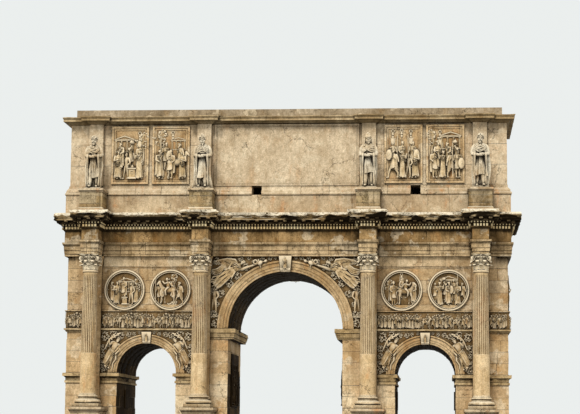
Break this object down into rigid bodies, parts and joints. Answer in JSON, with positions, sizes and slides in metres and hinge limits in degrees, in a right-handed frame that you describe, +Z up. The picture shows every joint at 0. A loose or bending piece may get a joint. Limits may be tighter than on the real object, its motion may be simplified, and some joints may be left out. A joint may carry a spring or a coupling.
{
  "type": "triumphal arch",
  "caption": "Three-bay stone triumphal arch with fluted columns on pedestals, a broken-out dentil cornice, roundels, relief panels and a hollow attic with statues.",
  "frame": {"origin": "ground level under the middle of the arch", "axes": "+X along the long front to the right, +Y through the passages to the back, +Z up; the front faces -Y"},
  "size_m": [26.74, 10.87, 20.89],
  "materials": {
    "marble": "weathered cream marble, honed, jointed",
    "stained_marble": "brown-stained weathered marble",
    "carved_marble": "carved relief marble with dark hollows",
    "pale_marble": "pale worn marble",
    "yellow_marble": "warm yellow-orange veined marble, worn polish",
    "roof_stone": "flat weathered roof slabs"
  },
  "bodies": {
    "root": {"pier_outer_left": "marble", "pier_outer_right": "marble", "pier_inner_left": "marble", "pier_inner_right": "marble", "side_arch_wall_left": "marble", "side_arch_wall_right": "marble", "centre_arch_wall": "marble", "upper_wall_left": "marble", "upper_wall_right": "marble", "side_imposts": "marble", "centre_imposts": "marble", "side_arch_rings": "marble", "centre_arch_rings": "marble", "side_keystones": "pale_marble", "centre_keystones": "pale_marble", "spandrel_slabs": "carved_marble", "string_course": "marble", "figure_friezes": "carved_marble", "roundels": "carved_marble", "plain_bands": "marble", "passage_panels": "carved_marble", "pilasters": "marble", "pedestals": "marble", "column_bases": "pale_marble", "column_shafts": "yellow_marble", "column_capitals": "pale_marble", "architrave": "stained_marble", "frieze_course": "stained_marble", "dentil_course": "stained_marble", "modillions": "stained_marble", "cornice": "pale_marble", "attic_footings": "marble", "attic_vent_course": "marble", "attic_long_walls": "marble", "attic_end_walls": "marble", "attic_plinth": "stained_marble", "attic_base_moulding": "marble", "attic_pilasters": "marble", "relief_panels": "carved_marble", "inscription_fields": "marble", "statue_pedestals": "stained_marble", "statues": "pale_marble", "attic_cornice": "pale_marble", "attic_roof": "roof_stone", "blocking_course": "pale_marble"}
  },
  "joints": []
}
